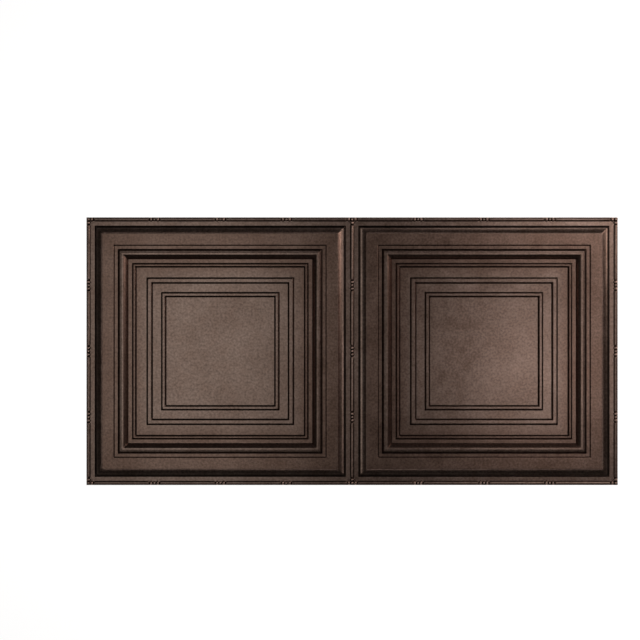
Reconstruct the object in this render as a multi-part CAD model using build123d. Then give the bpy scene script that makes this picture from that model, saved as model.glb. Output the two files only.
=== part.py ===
"""Vinyl ceiling tile: one thin sheet of PVC, thermoformed into two square coffers side by side.

Millimetres. The tile lies on its back: the middle of its back plane is the origin,
+X runs along its length and +Z points out of the decorated face.
"""
import os

from build123d import *

# The sheet and the grid it is laid on
GAUGE = 0.76                # thickness of the formed sheet
MODULE = 609.6              # one coffer, bead line to bead line (24 in)
COFFERS = 2                 # coffers in one tile, side by side
LAP = 4.76                  # sheet outside the bead lines, lapped by the next tile

# Flat border strip, from the bead line to the foot of the moulding
BORDER_STRIP = 14.9

# Outer moulding: a small roll, then a cove that climbs to the flat frame
ROLL_RUN = 2.6
ROLL_RISE = 2.8
ROLL_BACK_RUN = 1.6
ROLL_BACK_FALL = 1.2
COVE_RUN = 13.9
COVE_RISE = 7.2
COVE_START = 8.0            # steepness where the cove leaves its foot, degrees
FRAME_BAND = 25.8

# Sunk ledge on the frame, and the two-step ridge inside it
LEDGE_STEP_RUN = 2.0
LEDGE_STEP_FALL = 2.5
LEDGE = 8.2
RIDGE_STEP_RUN = 4.8
RIDGE_STEP_RISE = 5.0
RIDGE_SHOULDER = 2.6
RIDGE_CAP_RUN = 1.0
RIDGE_CAP_RISE = 1.0
RIDGE_CAP = 4.2

# Inner moulding: a swelling slope that drops to the sunk field
SLOPE_RUN = 10.0
SLOPE_START = 28.0          # steepness where the slope leaves the ridge, degrees
FIELD_MARGIN = 9.6

# Raised square fillets on the field, from the outside in
FILLET_RISE = 4.8
FILLET_WALL_RUN = 3.0
FILLET_TOP_OUTER = 3.7
BAND_OUTER = 23.6
FILLET_TOP_MIDDLE = 7.8
BAND_INNER = 20.0
FILLET_TOP_INNER = 5.4

# Bead-and-reel along every side of every coffer
GROUPS_PER_MODULE = 4       # steps from bead group to bead group along one side
REEL_RADIUS = 4.1
BALL_RADIUS = 3.6
DISC_RADIUS = 4.55
BEAD_PITCH = 7.6            # ball to disc, along the line
BEAD_GAP = 1.4              # between one bead and the next, at their feet
BALL_LEAN = 1.8             # how far the ends of a ball lean in at its crest

HALF = MODULE / 2.0
LENGTH = COFFERS * MODULE + 2.0 * LAP
WIDTH = MODULE + 2.0 * LAP


def moulding_section():
    """Section of the formed sheet, from a bead line to the middle of its coffer."""
    u = -HALF
    z = GAUGE
    edges = []

    def straight(run, rise=0.0):
        nonlocal u, z
        edges.append(Edge.make_line((u, z), (u + run, z + rise)))
        u += run
        z += rise

    def curve(run, rise, tangent):
        nonlocal u, z
        edges.append(Edge.make_tangent_arc((u, z), tangent, (u + run, z + rise)))
        u += run
        z += rise

    straight(BORDER_STRIP)
    straight(ROLL_RUN, ROLL_RISE)
    straight(ROLL_BACK_RUN, -ROLL_BACK_FALL)
    curve(COVE_RUN, COVE_RISE, Vector(1, 0, 0).rotate(Axis.Z, COVE_START))
    straight(FRAME_BAND)
    straight(LEDGE_STEP_RUN, -LEDGE_STEP_FALL)
    straight(LEDGE)
    straight(RIDGE_STEP_RUN, RIDGE_STEP_RISE)
    straight(RIDGE_SHOULDER)
    straight(RIDGE_CAP_RUN, RIDGE_CAP_RISE)
    straight(RIDGE_CAP)
    curve(SLOPE_RUN, GAUGE - z, Vector(1, 0, 0).rotate(Axis.Z, -SLOPE_START))
    fillets = (
        (FIELD_MARGIN, FILLET_TOP_OUTER),
        (BAND_OUTER, FILLET_TOP_MIDDLE),
        (BAND_INNER, FILLET_TOP_INNER),
    )
    for band, top in fillets:
        straight(band)
        straight(FILLET_WALL_RUN, FILLET_RISE)
        straight(top)
        straight(FILLET_WALL_RUN, -FILLET_RISE)
    straight(-u)
    face_line = Wire(edges)
    outlines = [face_line.offset_2d(GAUGE, side=side) for side in (Side.LEFT, Side.RIGHT)]
    lower = min(outlines, key=lambda outline: outline.bounding_box().min.Y)
    return Rot(90, 0, 0) * Face(lower)


def coffer():
    """One square coffer: a mitred side, set round the square four times."""
    side = extrude(moulding_section(), amount=HALF, both=True)
    mitre = extrude(make_face(Polyline((-HALF, -HALF), (0, 0), (-HALF, HALF), close=True)), amount=MODULE)
    quarter = side & mitre
    return Part() + [Rot(0, 0, 90 * turn) * quarter for turn in range(4)]


def half_round(radius, spans, lean=0.0):
    """Half-round bars along X, one to each span; their ends can lean in towards the crest."""
    reach = spans[-1][1] - spans[0][0]
    arch = Plane.YZ * (Circle(radius) & Pos(0, radius) * Rectangle(2.0 * radius, 2.0 * radius))
    blocks = []
    for start, end in spans:
        outline = Polyline((start, 0), (end, 0), (end - lean, radius), (start + lean, radius), close=True)
        blocks.append(Rot(90, 0, 0) * make_face(outline))
    return extrude(Sketch() + blocks, amount=radius, both=True) & extrude(arch, amount=reach, both=True)


def group_centres(modules):
    """Where the bead groups stand along a line of so many modules."""
    step = MODULE / GROUPS_PER_MODULE
    count = modules * GROUPS_PER_MODULE
    return [(index - count / 2.0) * step for index in range(count + 1)]


def reel_spans(modules, inset=0.0):
    """The long reels between the bead groups, each drawn in by the inset at both ends."""
    end = 1.5 * BEAD_PITCH + BEAD_GAP / 2.0 + inset
    centres = group_centres(modules)
    return [(left + end, right - end) for left, right in zip(centres, centres[1:])]


def bead_line(modules):
    """Bead-and-reel: long reels with a disc, a ball and a disc between them."""
    half_bead = (BEAD_PITCH - BEAD_GAP) / 2.0
    centres = group_centres(modules)
    discs = [centre + BEAD_PITCH for centre in centres[:-1]]
    discs += [centre - BEAD_PITCH for centre in centres[1:]]
    return [
        half_round(REEL_RADIUS, reel_spans(modules)),
        half_round(BALL_RADIUS, [(x - half_bead, x + half_bead) for x in centres], BALL_LEAN),
        half_round(DISC_RADIUS, [(x - half_bead, x + half_bead) for x in sorted(discs)]),
    ]


def reel_hollows(modules):
    """The channels that the sheet leaves open behind the reels."""
    return half_round(REEL_RADIUS - GAUGE, reel_spans(modules, GAUGE))


def ceiling_tile():
    """The whole tile: coffers, lapped rim and bead lines in one sheet."""
    rim = Rectangle(LENGTH, WIDTH) - Rectangle(COFFERS * MODULE, MODULE)
    rim = extrude(rim, amount=GAUGE)
    cell = coffer()
    columns = [(index - (COFFERS - 1) / 2.0) * MODULE for index in range(COFFERS)]
    cross_lines = [(index - COFFERS / 2.0) * MODULE for index in range(COFFERS + 1)]
    places = [(Pos(0, y, 0), COFFERS) for y in (-HALF, HALF)]
    places += [(Pos(x, 0, 0) * Rot(0, 0, 90), 1) for x in cross_lines]
    shapes = [Pos(x, 0, 0) * cell for x in columns]
    shapes += [place * bar for place, modules in places for bar in bead_line(modules)]
    hollows = [place * reel_hollows(modules) for place, modules in places]
    return (rim + shapes) - hollows


os.makedirs("parts", exist_ok=True)
tile = ceiling_tile()
export_step(tile, "parts/ceiling_tile.step")
print("solids", len(tile.solids()), "faces", len(tile.faces()), "valid", tile.is_valid)
print("box", tile.bounding_box().size, "volume", tile.volume)
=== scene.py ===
"""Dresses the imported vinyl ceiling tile: formed sheet, beads, bronze coat and a plain stage."""

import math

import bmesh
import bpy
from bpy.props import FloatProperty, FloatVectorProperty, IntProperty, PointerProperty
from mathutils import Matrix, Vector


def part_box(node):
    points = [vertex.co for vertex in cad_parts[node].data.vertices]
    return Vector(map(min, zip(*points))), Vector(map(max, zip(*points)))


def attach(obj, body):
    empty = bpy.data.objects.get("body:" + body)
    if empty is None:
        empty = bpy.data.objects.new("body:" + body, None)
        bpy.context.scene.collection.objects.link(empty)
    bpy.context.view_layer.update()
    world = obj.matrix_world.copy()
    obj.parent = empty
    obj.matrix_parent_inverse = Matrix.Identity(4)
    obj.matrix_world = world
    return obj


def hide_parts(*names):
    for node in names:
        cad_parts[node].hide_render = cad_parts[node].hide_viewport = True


bl_info = {
    "name": "Formed vinyl ceiling tile",
    "version": (1, 0, 0),
    "blender": (4, 5, 0),
    "location": "View3D > Sidebar > Ceiling tile",
    "description": "Builds a thermoformed vinyl ceiling tile on its packed frame and sets it on a stage",
    "category": "Object",
}

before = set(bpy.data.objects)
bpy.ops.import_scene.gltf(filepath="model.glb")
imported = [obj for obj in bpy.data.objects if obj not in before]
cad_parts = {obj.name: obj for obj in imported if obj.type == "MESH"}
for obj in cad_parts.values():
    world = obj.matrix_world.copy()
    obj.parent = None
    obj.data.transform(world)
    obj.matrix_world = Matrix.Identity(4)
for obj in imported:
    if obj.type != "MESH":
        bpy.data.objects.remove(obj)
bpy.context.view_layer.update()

MM = 0.001
NODE = "ceiling_tile"
CAD_LOW, CAD_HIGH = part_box(NODE)

# Shares that the mesh carries for the coat: painted shade in the creases, a darker tint from the frame to the
# outer band, and a painted highlight on the crests of the bead groups
PAINTED_SHADE = "painted_shade"
FRAME_TINT = "drawn"
PAINTED_HIGHLIGHT = "painted_highlight"

# The photograph's frame, where the tile's middle stands in it, and one coffer's side in its pixels
IMAGE_PIXELS = 640
TILE_CENTRE_PIXEL = (352.1, 351.2)
MODULE_PIXELS = 263.5

# A flatter bend than this stays sharp, and a rounding takes up to this share of the run beside it
FLATTEST_BEND = math.radians(2.0)
ROUNDED_SHARE = 0.45

# Mesh steps from a bead line to the edge of its grid, and along it from the middle of a bead group
LINE_STEPS = 8
GROUP_STEPS = 24

# Digits, in metres, to which stations and vertices of the grid are told apart
STATION_DIGITS = 7
KEY_DIGITS = 6

# The floor lies a hair below the tile's back, so that the two don't share a plane
FLOOR_GAP = 0.05 * MM

# How far the camera sees, in metres
CLIP_END = 50.0

# Lamps, in metres and watts: name, place, point that it faces, size, power and colour
SOFTBOXES = (
    ("left_softbox", (-0.53, 0.02, 1.5), (-0.3, 0.02, 0.0), (1.1, 0.8), 4.0, "#FFFFFF"),
    ("right_softbox", (0.69, -0.1, 1.5), (0.2, 0.0, 0.0), (0.4, 0.4), 1.9, "#FFF8F8"),
    ("upper_softbox", (0.76, 0.62, 1.5), (0.2, 0.0, 0.0), (0.35, 0.35), 3.1, "#FFF8F8"),
    ("far_softbox", (0.55, 1.2, 1.5), (0.3, 0.25, 0.0), (0.35, 0.35), 1.1, "#FFF8F8"),
    ("side_softbox", (1.0, 0.35, 0.7), (0.3, 0.0, 0.0), (0.25, 0.25), 1.5, "#FFEEE6"),
    ("low_softbox", (1.27, 0.59, 0.35), (0.3, 0.0, 0.0), (0.3, 0.3), 2.4, "#FFEEE6"),
)


def linear(hex_colour):
    """Turn an sRGB hex colour into the linear numbers that shaders and lamps take."""
    channels = [int(hex_colour[start:start + 2], 16) / 255.0 for start in (1, 3, 5)]
    return tuple(c / 12.92 if c <= 0.04045 else ((c + 0.055) / 1.055) ** 2.4 for c in channels)


def length(name, description, millimetres):
    """A size in millimetres, as a property in metres."""
    return FloatProperty(
        name=name, description=description, default=millimetres * MM, unit="LENGTH", precision=5,
    )


def steepness(name, description, degrees):
    """An angle in degrees, as a property in radians."""
    return FloatProperty(
        name=name, description=description, default=math.radians(degrees), subtype="ANGLE",
    )


def colour(name, description, hex_colour):
    """An sRGB colour, as a colour property."""
    return FloatVectorProperty(
        name=name, description=description, default=linear(hex_colour),
        subtype="COLOR", size=3, min=0.0, max=1.0,
    )


class TileSizes(bpy.types.PropertyGroup):
    """Sizes of the formed sheet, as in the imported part, and of the fine trim that it leaves to the scene."""

    gauge: length("Sheet gauge", "Thickness of the formed sheet", 0.76)
    lap: length("Lap", "Sheet outside the bead lines", 4.76)
    coffers: IntProperty(name="Coffers", description="Square coffers side by side", default=2, min=1)
    border_strip: length("Border strip", "Bead line to the foot of the moulding", 14.9)
    roll_run: length("Roll run", "Width of the small roll's outer side", 2.6)
    roll_rise: length("Roll rise", "Height of the small roll under the cove", 2.8)
    roll_back_run: length("Roll back run", "Width of the small roll's inner side", 1.6)
    roll_back_fall: length("Roll back fall", "Fall from the small roll to the foot of the cove", 1.2)
    cove_run: length("Cove run", "Width of the outer cove", 13.9)
    cove_rise: length("Cove rise", "Height of the outer cove", 7.2)
    cove_start: steepness("Cove start", "Steepness where the cove leaves its foot", 8.0)
    frame_band: length("Frame band", "Flat of the raised frame", 25.8)
    ledge_step_run: length("Ledge step run", "Width of the step down to the ledge", 2.0)
    ledge_step_fall: length("Ledge step fall", "Depth of the step down to the ledge", 2.5)
    ledge: length("Ledge", "Flat of the sunk ledge", 8.2)
    ridge_step_run: length("Ridge step run", "Width of the riser from ledge to ridge", 4.8)
    ridge_step_rise: length("Ridge step rise", "Height of the riser from ledge to ridge", 5.0)
    ridge_shoulder: length("Ridge shoulder", "Lower flat of the ridge", 2.6)
    ridge_cap_run: length("Ridge cap run", "Width of the riser on the ridge", 1.0)
    ridge_cap_rise: length("Ridge cap rise", "Height of the riser on the ridge", 1.0)
    ridge_cap: length("Ridge cap", "Top flat of the ridge", 4.2)
    slope_run: length("Slope run", "Width of the slope down to the field", 10.0)
    slope_start: steepness("Slope start", "Steepness where the slope leaves the ridge", 28.0)
    field_margin: length("Field margin", "Slope to the outer fillet", 9.6)
    fillet_rise: length("Fillet rise", "Height of the raised fillets", 4.8)
    fillet_wall_run: length("Fillet wall run", "Width of a fillet's wall", 3.0)
    fillet_top_outer: length("Outer fillet", "Flat of the outer fillet", 3.7)
    band_outer: length("Outer band", "Outer to middle fillet", 23.6)
    fillet_top_middle: length("Middle fillet", "Flat of the middle fillet", 7.8)
    band_inner: length("Inner band", "Middle to inner fillet", 20.0)
    fillet_top_inner: length("Inner fillet", "Flat of the inner fillet", 5.4)
    edge_radius: length("Edge radius", "Rounding of outward bends in the sheet", 0.9)
    crease_radius: length("Crease radius", "Rounding of inward bends in the sheet", 0.45)
    shade_reach: length("Glaze reach", "How far the dark glaze reaches out of a crease", 0.9)
    bead_shade_reach: length("Bead glaze", "How far the dark glaze reaches out from the foot of a bead", 1.6)
    mitre_radius: length("Mitre radius", "Rounding of the mitred corners, seen from above", 1.4)
    groups: IntProperty(
        name="Bead groups", description="Bead steps along one side of a coffer", default=4, min=1,
    )
    reel_radius: length("Reel radius", "Half-round section of the long reels", 4.1)
    ball_radius: length("Ball radius", "Ball in the middle of a bead group", 3.6)
    disc_radius: length("Disc radius", "Discs either side of the ball", 4.55)
    bead_pitch: length("Bead pitch", "Ball to disc, along the line", 7.6)
    bead_gap: length("Bead gap", "Between one bead and the next, at their feet", 1.4)
    bead_grid: length("Bead grid", "Mesh spacing over the beads", 0.68)


class TileFinish(bpy.types.PropertyGroup):
    """Colours of the coat and of the bare back."""

    bronze_pale: colour("Bronze, pale", "Pale clouds of the bronze coat", "#78665C")
    bronze_deep: colour("Bronze, deep", "Deep clouds of the bronze coat", "#66544A")
    # Darker tint from the frame to the outer band, but for the ridge
    frame_tint_colour: colour("Drawn tint", "Tint of the coat where forming has drawn it thin", "#E7DFDB")
    # Painted light: steep walls painted lighter and redder than the flats
    steep_wall_painted_light: colour("Bronze, stretched", "Coat over the brown sheet on steep walls", "#94786C")
    # Painted highlight: the crests of the bead groups painted bright
    bead_painted_highlight: colour("Bronze, rubbed", "Coat rubbed bright on the crests of the beads", "#A08679")
    # Painted shade: dark colour laid in the creases, on the walls and in the gaps of the bead groups
    painted_crease_shade: colour("Dark glaze", "Glaze that settles in the creases", "#17100C")
    bare_vinyl: colour("Bare vinyl", "Uncoated back of the sheet", "#4A4038")


class TileStage(bpy.types.PropertyGroup):
    """Camera, floor and even light."""

    lens: FloatProperty(name="Lens", description="Focal length in millimetres", default=85.0, min=20.0)
    sensor: FloatProperty(name="Sensor", description="Sensor width in millimetres", default=36.0, min=10.0)
    floor_size: length("Floor size", "Side of the floor", 40000.0)
    floor_white: colour("Floor colour", "Pale floor", "#F4F4F2")
    floor_lift: FloatProperty(
        name="Floor lift", description="Glow that brings the seen floor up to white", default=0.8, min=0.0,
    )
    sky: FloatProperty(
        name="Sky", description="Strength of the even light all round", default=0.03, min=0.0,
    )


def coffer_side(sizes):
    """Side of one coffer, from bead line to bead line."""
    return CAD_HIGH[1] - CAD_LOW[1] - 2.0 * sizes.lap


def rounded(path, steps=3):
    """Round the corners of a path.

    Its points are (distance, height, radius, painted shade), and those returned are (distance, height, painted
    shade).
    """
    points = [Vector((path[0][0], path[0][1], path[0][3]))]
    for (u0, z0, _, _), (u1, z1, radius, painted_shade), (u2, z2, _, _) in zip(path, path[1:], path[2:]):
        corner = Vector((u1, z1, painted_shade))
        back = Vector((u0 - u1, z0 - z1, 0.0))
        ahead = Vector((u2 - u1, z2 - z1, 0.0))
        turn = math.pi - back.angle(ahead)
        if radius <= 0.0 or turn < FLATTEST_BEND:
            points.append(corner)
            continue
        room = ROUNDED_SHARE * min(back.length, ahead.length)
        reach = min(radius * math.tan(turn / 2.0), room)
        start = corner + back.normalized() * reach
        end = corner + ahead.normalized() * reach
        for step in range(steps + 1):
            t = step / steps
            points.append(start * (1 - t) ** 2 + corner * (2 * t * (1 - t)) + end * t ** 2)
    points.append(Vector((path[-1][0], path[-1][1], path[-1][3])))
    return points


def hold_flats(points, keep):
    """Add a point just inside each end of a long run, so that the shading of its bends ends there.

    On a level run the painted shade ends there too.
    """
    long_run = 2.5 * keep
    level_rise = 0.1
    held = [points[0]]
    for here, there in zip(points, points[1:]):
        run = (there - here).xy.length
        if run > long_run:
            level = abs(there.y - here.y) < level_rise * run
            for share in (keep / run, 1.0 - keep / run):
                point = here.lerp(there, share)
                if level:
                    point.z = 0.0
                held.append(point)
        held.append(there)
    return held


def face_profile(sizes):
    """Points of the face from the border strip inward: (distance from the bead line, height, painted shade).
    """
    # Each kind of bend has a radius and a share of painted shade, a dark colour laid where shade falls. It
    # fills both sides of the small roll, darkens the creases, the walls and the slope, and lies thin on the
    # ridge
    plain = (0.0, 0.0)
    edge = (sizes.edge_radius, 0.0)
    crease = (sizes.crease_radius, 1.0)
    roll_crest = (sizes.edge_radius, 0.9)
    fillet_lip = (sizes.edge_radius, 0.3)
    ridge_lip = (sizes.edge_radius, 0.5)
    ridge_crease = (sizes.crease_radius, 0.1)
    slope_shade = (0.0, 0.25)
    # Flats that lead in from the border strip and on towards the middle of the field
    strip_lead = 4.0 * MM
    field_lead = 6.0 * MM
    path = [(sizes.border_strip - strip_lead, sizes.gauge, *plain)]

    def straight(run, rise, bend):
        u, z, _, _ = path[-1]
        path.append((u + run, z + rise, *bend))

    def curve(run, rise, start, bend, body, steps=12):
        u, z, _, _ = path[-1]
        chord = math.atan2(rise, run)
        reach = math.hypot(run, rise) / (2.0 * math.sin(chord - start))
        for step in range(1, steps + 1):
            angle = start + 2.0 * (chord - start) * step / steps
            along = reach * (math.sin(angle) - math.sin(start))
            up = reach * (math.cos(start) - math.cos(angle))
            path.append((u + along, z + up, *(bend if step == steps else body)))

    straight(strip_lead, 0.0, crease)
    straight(sizes.roll_run, sizes.roll_rise, roll_crest)
    straight(sizes.roll_back_run, -sizes.roll_back_fall, crease)
    curve(sizes.cove_run, sizes.cove_rise, sizes.cove_start, edge, plain)
    straight(sizes.frame_band, 0.0, edge)
    straight(sizes.ledge_step_run, -sizes.ledge_step_fall, crease)
    straight(sizes.ledge, 0.0, crease)
    straight(sizes.ridge_step_run, sizes.ridge_step_rise, ridge_lip)
    straight(sizes.ridge_shoulder, 0.0, ridge_crease)
    straight(sizes.ridge_cap_run, sizes.ridge_cap_rise, edge)
    straight(sizes.ridge_cap, 0.0, edge)
    curve(sizes.slope_run, sizes.gauge - path[-1][1], -sizes.slope_start, crease, slope_shade)
    fillets = (
        (sizes.field_margin, sizes.fillet_top_outer),
        (sizes.band_outer, sizes.fillet_top_middle),
        (sizes.band_inner, sizes.fillet_top_inner),
    )
    for band, top in fillets:
        straight(band, 0.0, crease)
        straight(sizes.fillet_wall_run, sizes.fillet_rise, fillet_lip)
        straight(top, 0.0, fillet_lip)
        straight(sizes.fillet_wall_run, -sizes.fillet_rise, crease)
    straight(field_lead, 0.0, plain)
    return hold_flats(rounded(path), sizes.shade_reach)


def frame_tint_share(distance, sizes):
    """How much of the darker tint the coat takes at a distance from the bead line.

    It is full from the frame to the outer fillet, but for the ridge, and fades over the outer band.
    """
    frame_start = sizes.border_strip + sizes.roll_run + sizes.roll_back_run + sizes.cove_run
    frame_width = sizes.frame_band + sizes.ledge_step_run + sizes.ledge
    ridge_width = sizes.ridge_step_run + sizes.ridge_shoulder + sizes.ridge_cap_run + sizes.ridge_cap
    field_start = frame_start + frame_width + ridge_width + sizes.slope_run
    band_start = field_start + sizes.field_margin + sizes.fillet_top_outer + 2.0 * sizes.fillet_wall_run
    rise = (distance - frame_start) / sizes.edge_radius
    fall = 1.0 - (distance - band_start) / sizes.band_outer
    ridge_start = frame_start + frame_width + sizes.ridge_step_run
    if ridge_start <= distance <= field_start - sizes.slope_run:
        return 0.0
    return max(0.0, min(1.0, rise, fall))


def back_profile(sizes):
    """The same points on the back of the sheet, one gauge below the face all along."""
    points = face_profile(sizes)
    below = []
    for index, point in enumerate(points):
        before = points[max(index - 1, 0)]
        after = points[min(index + 1, len(points) - 1)]
        runs = [(point - before).xy, (after - point).xy]
        sides = [run.normalized() for run in runs if run.length > 0.0]
        normals = [Vector((-side.y, side.x)) for side in sides]
        middle = (normals[0] + normals[-1]).normalized()
        place = point.xy - middle * (sizes.gauge / middle.dot(normals[0]))
        below.append(Vector((place.x, max(place.y, 0.0), 0.0)))
    return below


def square_loop(mesh, centre, half, point, drawn, radius):
    """A ring of vertices round a square with rounded corners, counter-clockwise from above."""
    straight = half - radius
    # A vertex this far before each corner keeps the corner's shading off the straight side
    hold = 1.5 * MM
    between = [straight * share for share in (-0.75, -0.5, -0.25, 0.0, 0.25, 0.5, 0.75)]
    stations = [-straight + hold, *between, straight - hold]
    bends = [math.radians(angle) for angle in (0.0, 22.5, 45.0, 67.5, 90.0)]
    quarter = [(half, y) for y in stations]
    quarter += [(straight + radius * math.cos(a), straight + radius * math.sin(a)) for a in bends]
    ring = []
    for turn in range(4):
        for x, y in quarter:
            for _ in range(turn):
                x, y = -y, x
            vertex = mesh.verts.new((centre + x, y, point.y))
            vertex[mesh.verts.layers.float[PAINTED_SHADE]] = point.z
            vertex[mesh.verts.layers.float[FRAME_TINT]] = drawn
            ring.append(vertex)
    return ring


def add_coffer(mesh, centre, module, profile, sizes):
    """Nested mitred rings of one coffer; returns its outermost ring."""
    rings = []
    for point in profile:
        drawn = frame_tint_share(point.x, sizes)
        rings.append(square_loop(mesh, centre, module / 2.0 - point.x, point, drawn, sizes.mitre_radius))
    for outer, inner in zip(rings, rings[1:]):
        for index in range(len(outer)):
            after = (index + 1) % len(outer)
            mesh.faces.new((outer[index], outer[after], inner[after], inner[index]))
    mesh.faces.new(rings[-1])
    return rings[0]


def group_centres(modules, module, sizes):
    """Where the bead groups stand along a line of so many modules."""
    step = module / sizes.groups
    count = modules * sizes.groups
    return [(index - count / 2.0) * step for index in range(count + 1)]


def bead_height(along, across, centres, sizes, inset):
    """Height of a bead line, its share of painted shade and its share of painted highlight.

    An inset gives the hollow behind the line.
    """
    offset = min(abs(along - centre) for centre in centres)
    half_bead = (sizes.bead_pitch - sizes.bead_gap) / 2.0 - inset
    reel = sizes.reel_radius - inset
    reel_start = 1.5 * sizes.bead_pitch + sizes.bead_gap / 2.0 + sizes.reel_radius
    shapes = (
        (offset / half_bead, sizes.ball_radius - inset),
        ((offset - sizes.bead_pitch) / half_bead, sizes.disc_radius - inset),
        (max(0.0, reel_start - offset) / reel, reel),
    )
    height = 0.0
    outside = sizes.bead_shade_reach
    for run, radius in shapes:
        # A full crest along the line and a half-round across it
        room = 1.0 - run ** 4 - (across / radius) ** 2
        if room > 0.0:
            height = max(height, radius * math.sqrt(room))
        # About how far the place lies outside the bead's foot
        outside = min(outside, (run ** 2 + (across / radius) ** 2 - 1.0) * radius / 2.0)
    # The painted shade stands part of the way up reels and beads, fills the gaps of a group and fades on the
    # strip
    shade_top = 0.6 * sizes.reel_radius
    group_end = 1.6 * sizes.bead_pitch
    shade_depth = 1.4
    if height > shade_top:
        # Painted highlight on the crests of a bead group
        return height, 0.0, 1.0 if offset < group_end else 0.0
    if offset < group_end and abs(across) < sizes.ball_radius:
        return height, 1.0, 0.0
    painted_shade = shade_depth * (1.0 - outside / sizes.bead_shade_reach)
    return height, max(0.0, min(1.0, painted_shade)), 0.0


def line_stations(modules, module, sizes):
    """Mesh stations along a bead line: close over each bead group, open along the reels."""
    grid = sizes.bead_grid
    end = modules * module / 2.0 + sizes.lap
    stations = set()
    for centre in group_centres(modules, module, sizes):
        for step in range(-GROUP_STEPS, GROUP_STEPS + 1):
            stations.add(round(centre + step * grid, STATION_DIGITS))
    stations = [station for station in stations if abs(station) < end - 0.5 * grid]
    return sorted(stations + [-end, end])


def open_half(module, sizes):
    """Half the side of the square that the grid of the bead lines leaves to a coffer."""
    return module / 2.0 - (LINE_STEPS - 0.5) * sizes.bead_grid


def add_bead_lines(mesh, module, sizes, behind):
    """The lattice of bead lines round and between the coffers, on the face or behind it."""
    columns = sizes.coffers
    half_length = columns * module / 2.0
    half_width = module / 2.0
    line_x = [-half_length + index * module for index in range(columns + 1)]
    line_y = [-half_width, half_width]
    centres_x = group_centres(columns, module, sizes)
    centres_y = group_centres(1, module, sizes)
    end_bead = sizes.bead_pitch / 2.0
    inset = sizes.gauge if behind else 0.0
    lowest = 0.0 if behind else sizes.gauge
    shade_layer = mesh.verts.layers.float[PAINTED_SHADE]
    highlight_layer = mesh.verts.layers.float[PAINTED_HIGHLIGHT]
    found = {}

    def beads(x, y):
        across_y = min((y - line for line in line_y), key=abs)
        across_x = min((x - line for line in line_x), key=abs)
        near = [(0.0, 0.0, 0.0)]
        if abs(x) < half_length + end_bead:
            near.append(bead_height(x, across_y, centres_x, sizes, inset))
        if abs(y) < half_width + end_bead:
            near.append(bead_height(y, across_x, centres_y, sizes, inset))
        return [max(values) for values in zip(*near)]

    def vertex(x, y):
        key = (round(x, KEY_DIGITS), round(y, KEY_DIGITS))
        if key not in found:
            height, painted_shade, painted_highlight = beads(x, y)
            found[key] = mesh.verts.new((x, y, max(height, lowest)))
            if not behind:
                found[key][shade_layer] = painted_shade
                found[key][highlight_layer] = painted_highlight
        return found[key]

    def patch(xs, ys):
        for x0, x1 in zip(xs, xs[1:]):
            for y0, y1 in zip(ys, ys[1:]):
                mesh.faces.new((vertex(x0, y0), vertex(x1, y0), vertex(x1, y1), vertex(x0, y1)))

    reach = (LINE_STEPS + 0.5) * sizes.bead_grid
    stations_x = line_stations(columns, module, sizes)
    stations_y = line_stations(1, module, sizes)
    for line in line_y:
        patch(stations_x, [y for y in stations_y if abs(y - line) < reach])
    inner_y = [y for y in stations_y if abs(y) < open_half(module, sizes)]
    for line in line_x:
        patch([x for x in stations_x if abs(x - line) < reach], inner_y)
    return found, stations_x, stations_y, inner_y


def ring_edges(ring):
    """The edges that join a ring of vertices, in order."""
    edges = []
    for here, there in zip(ring, ring[1:] + ring[:1]):
        edges.append(next(edge for edge in here.link_edges if edge.other_vert(here) is there))
    return edges


def around(xs, ys):
    """Grid points round the sides of a rectangle, counter-clockwise from above."""
    points = [(x, ys[0]) for x in xs]
    points += [(xs[-1], y) for y in ys[1:]]
    points += [(x, ys[-1]) for x in reversed(xs[:-1])]
    points += [(xs[0], y) for y in reversed(ys[1:-1])]
    return [(round(x, KEY_DIGITS), round(y, KEY_DIGITS)) for x, y in points]


def add_side(mesh, module, sizes, behind):
    """One side of the sheet, face or back; returns its outermost vertices in order."""
    found, stations_x, stations_y, inner_y = add_bead_lines(mesh, module, sizes, behind)
    profile = back_profile(sizes) if behind else face_profile(sizes)
    room = open_half(module, sizes)
    for index in range(sizes.coffers):
        centre = (index - (sizes.coffers - 1) / 2.0) * module
        outer = add_coffer(mesh, centre, module, profile, sizes)
        inner_x = [x for x in stations_x if abs(x - centre) < room]
        inner = [found[key] for key in around(inner_x, inner_y)]
        border = ring_edges(inner) + ring_edges(outer)
        bmesh.ops.triangle_fill(mesh, edges=border, use_beauty=True, normal=(0.0, 0.0, 1.0))
    return [found[key] for key in around(stations_x, stations_y)]


def form_sheet(module, sizes):
    """The whole sheet: its face, its back and the cut rim between them."""
    mesh = bmesh.new()
    for name in (PAINTED_SHADE, FRAME_TINT, PAINTED_HIGHLIGHT):
        mesh.verts.layers.float.new(name)
    face_rim = add_side(mesh, module, sizes, False)
    faces = set(mesh.faces)
    back_rim = add_side(mesh, module, sizes, True)
    back = [face for face in mesh.faces if face not in faces]
    bmesh.ops.reverse_faces(mesh, faces=back)
    count = len(face_rim)
    for index in range(count):
        after = (index + 1) % count
        back.append(mesh.faces.new((back_rim[index], back_rim[after], face_rim[after], face_rim[index])))
    for face in mesh.faces:
        face.smooth = True
    for face in back:
        face.material_index = 1
    for edge in ring_edges(face_rim) + ring_edges(back_rim):
        edge.smooth = False
    if not all(edge.is_manifold for edge in mesh.edges):
        raise RuntimeError("The formed sheet isn't closed")
    return mesh


def add_node(tree, kind, inputs=None, **settings):
    """Add a shader node; inputs are numbers, colours or another node's socket."""
    node = tree.nodes.new(kind)
    for name, value in settings.items():
        setattr(node, name, value)
    for name, value in (inputs or {}).items():
        socket = node.inputs[name]
        if isinstance(value, bpy.types.NodeSocket):
            tree.links.new(value, socket)
        else:
            socket.default_value = value
    return node


def new_material(name):
    """An empty node material and its tree."""
    material = bpy.data.materials.new(name)
    material.use_nodes = True
    material.node_tree.nodes.clear()
    return material, material.node_tree


def opaque(rgb):
    """A colour with full alpha, as sockets take it."""
    return (*rgb, 1.0)


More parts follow.
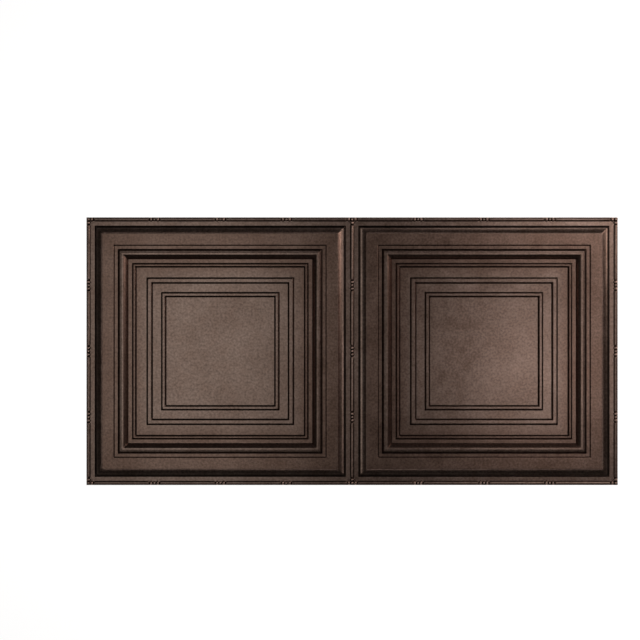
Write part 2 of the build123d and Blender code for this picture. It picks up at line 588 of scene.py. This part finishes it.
def bronze_coated_pvc(finish):
    """Thermoformed PVC with a satin bronze coat."""
    # Satin metallic coat, sprayed before forming: cloudy brown with a fine flake. It has a darker tint from
    # the frame to the outer band, but for the ridge. Steep walls are painted lighter and redder, as painted
    # light; the creases are painted dark, as painted shade, and the crests of the bead groups are painted
    # bright, as a painted highlight
    cloud_size = 110 * MM
    blotch_size = 24 * MM
    # The flake is far finer than this on the sheet; it is drawn at 5 mm and less so that it shows
    flake_size = 5 * MM
    swell_depth = 0.6 * MM
    grain_depth = 0.05 * MM
    material, tree = new_material("bronze_coated_pvc")
    place = add_node(tree, "ShaderNodeTexCoord")
    where = place.outputs["Object"]
    clouds, blotches, flake = (
        add_node(tree, "ShaderNodeTexNoise", {"Vector": where, "Scale": 1.0 / size, "Detail": 3.0})
        for size in (cloud_size, blotch_size, flake_size)
    )
    cloudy = add_node(
        tree, "ShaderNodeMapRange",
        {
            "Value": clouds.outputs["Fac"],
            "From Min": 0.35, "From Max": 0.65, "To Min": 0.1, "To Max": 0.7,
        },
    )
    blotchy = add_node(
        tree, "ShaderNodeMapRange",
        {
            "Value": blotches.outputs["Fac"],
            "From Min": 0.35, "From Max": 0.65, "To Min": -0.15, "To Max": 0.3,
        },
    )
    pale = add_node(
        tree, "ShaderNodeMath",
        {0: cloudy.outputs["Result"], 1: blotchy.outputs["Result"]},
        operation="ADD", use_clamp=True,
    )
    upright = add_node(tree, "ShaderNodeSeparateXYZ", {"Vector": place.outputs["Normal"]})
    # The steeper the wall, the more painted light it takes: a lighter, redder colour
    steep_painted_light = add_node(
        tree, "ShaderNodeMapRange",
        {
            "Value": upright.outputs["Z"],
            "From Min": 0.95, "From Max": 0.5, "To Min": 0.0, "To Max": 1.0,
        },
    )
    thin, crests, creases = (
        add_node(tree, "ShaderNodeAttribute", attribute_name=name)
        for name in (FRAME_TINT, PAINTED_HIGHLIGHT, PAINTED_SHADE)
    )
    # Each tone goes over the last: where it lies, its colour and how it is laid on
    tones = (
        (pale.outputs["Value"], finish.bronze_pale, "MIX"),
        # Darker tint from the frame to the outer band
        (thin.outputs["Fac"], finish.frame_tint_colour, "MULTIPLY"),
        # Painted light on the steep walls
        (steep_painted_light.outputs["Result"], finish.steep_wall_painted_light, "MIX"),
        # Painted highlight on the crests of the bead groups
        (crests.outputs["Fac"], finish.bead_painted_highlight, "MIX"),
        # Painted shade in the creases, on the walls and between the beads
        (creases.outputs["Fac"], finish.painted_crease_shade, "MIX"),
    )
    coat = opaque(finish.bronze_deep)
    for share, tone, blend in tones:
        toned = add_node(
            tree, "ShaderNodeMix",
            {"Factor": share, "A": coat, "B": opaque(tone)},
            data_type="RGBA", blend_type=blend,
        )
        coat = toned.outputs["Result"]
    sparkle = add_node(
        tree, "ShaderNodeMapRange",
        {
            "Value": flake.outputs["Fac"],
            "From Min": 0.3, "From Max": 0.7, "To Min": 0.72, "To Max": 1.28,
        },
    )
    speckled = add_node(
        tree, "ShaderNodeVectorMath",
        {0: coat, 1: sparkle.outputs["Result"]},
        operation="MULTIPLY",
    )
    dulled = add_node(
        tree, "ShaderNodeMapRange",
        {
            "Value": blotches.outputs["Fac"],
            "From Min": 0.3, "From Max": 0.7, "To Min": 0.3, "To Max": 0.35,
        },
    )
    swell = add_node(
        tree, "ShaderNodeBump",
        {"Height": clouds.outputs["Fac"], "Distance": swell_depth, "Strength": 1.0},
    )
    grain = add_node(
        tree, "ShaderNodeBump",
        {
            "Height": flake.outputs["Fac"],
            "Distance": grain_depth,
            "Strength": 1.0,
            "Normal": swell.outputs["Normal"],
        },
    )
    shader = add_node(
        tree, "ShaderNodeBsdfPrincipled",
        {
            "Base Color": speckled.outputs["Vector"],
            "Metallic": 0.93,
            "Roughness": dulled.outputs["Result"],
            "Normal": grain.outputs["Normal"],
        },
    )
    add_node(tree, "ShaderNodeOutputMaterial", {"Surface": shader.outputs["BSDF"]})
    return material


def bare_pvc(finish):
    """Uncoated back and cut rim of the sheet."""
    # Calendered brown PVC, dull, with faint clouds where the mould has marked it
    mark_size = 35 * MM
    material, tree = new_material("bare_pvc")
    where = add_node(tree, "ShaderNodeTexCoord").outputs["Object"]
    marks = add_node(tree, "ShaderNodeTexNoise", {"Vector": where, "Scale": 1.0 / mark_size, "Detail": 4.0})
    shade = add_node(
        tree, "ShaderNodeMapRange",
        {
            "Value": marks.outputs["Fac"],
            "From Min": 0.3, "From Max": 0.7, "To Min": 0.88, "To Max": 1.1,
        },
    )
    tone = add_node(
        tree, "ShaderNodeVectorMath",
        {0: finish.bare_vinyl, 1: shade.outputs["Result"]},
        operation="MULTIPLY",
    )
    shader = add_node(
        tree, "ShaderNodeBsdfPrincipled",
        {"Base Color": tone.outputs["Vector"], "Roughness": 0.55, "IOR": 1.53},
    )
    add_node(tree, "ShaderNodeOutputMaterial", {"Surface": shader.outputs["BSDF"]})
    return material


class CEILINGTILE_OT_formed_sheet(bpy.types.Operator):
    """Build the formed sheet, with its coat on the face and bare vinyl behind"""

    bl_idname = "ceiling_tile.formed_sheet"
    bl_label = "Formed sheet"

    def execute(self, context):
        sizes = context.scene.tile_sizes
        finish = context.scene.tile_finish
        data = bpy.data.meshes.new("formed_sheet")
        mesh = form_sheet(coffer_side(sizes), sizes)
        mesh.to_mesh(data)
        mesh.free()
        data.materials.append(bronze_coated_pvc(finish))
        data.materials.append(bare_pvc(finish))
        sheet = bpy.data.objects.new("formed_sheet", data)
        context.scene.collection.objects.link(sheet)
        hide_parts(NODE)
        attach(sheet, "root")
        return {"FINISHED"}


def white_floor(stage):
    """Plain pale floor."""
    # Matt white board: it reads as white to the eye and in reflections, and still takes the tile's shadow
    material, tree = new_material("white_floor")
    path = add_node(tree, "ShaderNodeLightPath")
    seen = path.outputs["Is Camera Ray"]
    for ray in ("Is Glossy Ray", "Is Transmission Ray"):
        either = add_node(tree, "ShaderNodeMath", {0: seen, 1: path.outputs[ray]}, operation="MAXIMUM")
        seen = either.outputs["Value"]
    lift = add_node(tree, "ShaderNodeMath", {0: seen, 1: stage.floor_lift}, operation="MULTIPLY")
    board = add_node(tree, "ShaderNodeBsdfDiffuse", {"Color": opaque(stage.floor_white)})
    glow = add_node(tree, "ShaderNodeEmission", {"Strength": lift.outputs["Value"]})
    both = add_node(tree, "ShaderNodeAddShader", {0: board.outputs["BSDF"], 1: glow.outputs["Emission"]})
    add_node(tree, "ShaderNodeOutputMaterial", {"Surface": both.outputs["Shader"]})
    return material


def add_floor(scene):
    """The floor that the tile lies on."""
    stage = scene.tile_stage
    half = stage.floor_size / 2.0
    corners = [(-half, -half, 0), (half, -half, 0), (half, half, 0), (-half, half, 0)]
    data = bpy.data.meshes.new("floor")
    data.from_pydata(corners, [], [(0, 1, 2, 3)])
    data.materials.append(white_floor(stage))
    floor = bpy.data.objects.new("floor", data)
    floor.location.z = CAD_LOW[2] - FLOOR_GAP
    scene.collection.objects.link(floor)


def add_softbox(scene, name, place, aim, size, watts, hex_colour):
    """A rectangular lamp that faces a point."""
    lamp = bpy.data.lights.new(name, "AREA")
    lamp.shape = "RECTANGLE"
    lamp.size, lamp.size_y = size
    lamp.energy = watts
    lamp.color = linear(hex_colour)
    softbox = bpy.data.objects.new(name, lamp)
    softbox.location = place
    softbox.rotation_euler = (Vector(aim) - Vector(place)).to_track_quat("-Z", "Y").to_euler()
    softbox.visible_camera = False
    scene.collection.objects.link(softbox)


def add_camera(scene):
    """A camera straight above, framed as in the photograph."""
    stage = scene.tile_stage
    pixel = coffer_side(scene.tile_sizes) / MODULE_PIXELS
    middle = IMAGE_PIXELS / 2.0
    lens = bpy.data.cameras.new("camera")
    lens.lens = stage.lens
    lens.sensor_width = stage.sensor
    lens.clip_end = CLIP_END
    camera = bpy.data.objects.new("camera", lens)
    camera.location = (
        (middle - TILE_CENTRE_PIXEL[0]) * pixel,
        (TILE_CENTRE_PIXEL[1] - middle) * pixel,
        IMAGE_PIXELS * pixel * stage.lens / stage.sensor,
    )
    scene.collection.objects.link(camera)
    scene.camera = camera


class CEILINGTILE_OT_stage(bpy.types.Operator):
    """Set the floor, the lamps and the camera"""

    bl_idname = "ceiling_tile.stage"
    bl_label = "Stage"

    def execute(self, context):
        scene = context.scene
        scene.view_settings.view_transform = "Standard"
        add_floor(scene)
        world = bpy.data.worlds.new("studio")
        world.use_nodes = True
        sky = world.node_tree.nodes["Background"]
        sky.inputs["Color"].default_value = opaque(linear("#FFFFFF"))
        sky.inputs["Strength"].default_value = scene.tile_stage.sky
        scene.world = world
        for softbox in SOFTBOXES:
            add_softbox(scene, *softbox)
        add_camera(scene)
        return {"FINISHED"}


class CEILINGTILE_PT_panel(bpy.types.Panel):
    """Buttons and sizes of the ceiling tile"""

    bl_idname = "CEILINGTILE_PT_panel"
    bl_label = "Ceiling tile"
    bl_space_type = "VIEW_3D"
    bl_region_type = "UI"
    bl_category = "Ceiling tile"

    def draw(self, context):
        layout = self.layout
        layout.operator(CEILINGTILE_OT_formed_sheet.bl_idname)
        layout.operator(CEILINGTILE_OT_stage.bl_idname)
        for group in (context.scene.tile_sizes, context.scene.tile_finish, context.scene.tile_stage):
            box = layout.box()
            for name in group.__annotations__:
                box.prop(group, name)


CLASSES = (
    TileSizes,
    TileFinish,
    TileStage,
    CEILINGTILE_OT_formed_sheet,
    CEILINGTILE_OT_stage,
    CEILINGTILE_PT_panel,
)


def register():
    for cls in CLASSES:
        bpy.utils.register_class(cls)
    bpy.types.Scene.tile_sizes = PointerProperty(type=TileSizes)
    bpy.types.Scene.tile_finish = PointerProperty(type=TileFinish)
    bpy.types.Scene.tile_stage = PointerProperty(type=TileStage)


def unregister():
    del bpy.types.Scene.tile_stage
    del bpy.types.Scene.tile_finish
    del bpy.types.Scene.tile_sizes
    for cls in reversed(CLASSES):
        bpy.utils.unregister_class(cls)


def main():
    register()
    bpy.ops.ceiling_tile.formed_sheet()
    bpy.ops.ceiling_tile.stage()


if __name__ == "__main__":
    main()
